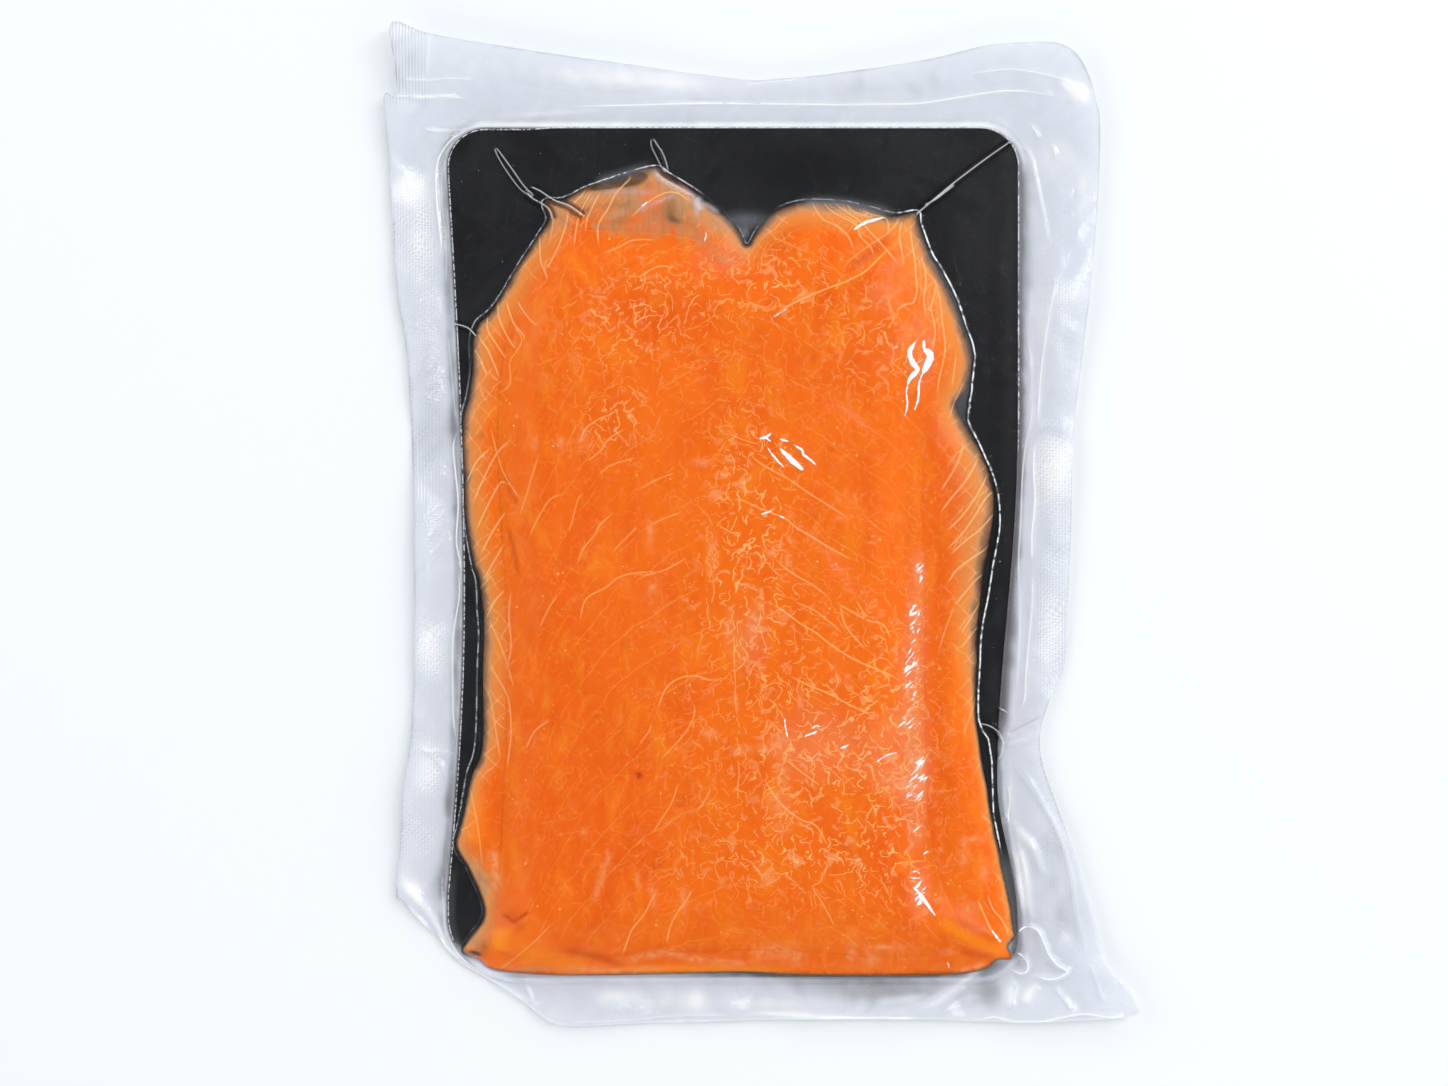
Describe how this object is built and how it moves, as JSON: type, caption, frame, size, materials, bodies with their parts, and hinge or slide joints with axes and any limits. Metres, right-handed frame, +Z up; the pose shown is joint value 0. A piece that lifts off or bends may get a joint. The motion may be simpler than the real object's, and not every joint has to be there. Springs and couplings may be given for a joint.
{
  "type": "pack of sliced smoked salmon",
  "caption": "Clear vacuum pouch, welded all round, holding slices of smoked salmon on a black card board, lying flat with the fish up.",
  "frame": {"origin": "middle of the board, on the flat underside of the pouch", "axes": "+Z up out of the fish, +Y along the pack to the pouch's flap, +X across the pack to its right-hand side"},
  "size_m": [0.1976, 0.2635, 0.0116],
  "materials": {
    "margin_film": "clear plastic film, two layers welded, glossy with a fine embossed grain",
    "front_film": "clear glossy plastic film drawn tight by vacuum",
    "board_card": "black laminated card",
    "salmon_edge": "moist smoked salmon, paler where it is thin",
    "salmon_flesh": "moist smoked salmon with fine lines of fat"
  },
  "bodies": {
    "root": {"pouch_back": "margin_film", "pouch_front": "front_film", "board": "board_card", "salmon_lower_slices": "salmon_edge", "salmon_upper_slice": "salmon_flesh"}
  },
  "joints": []
}
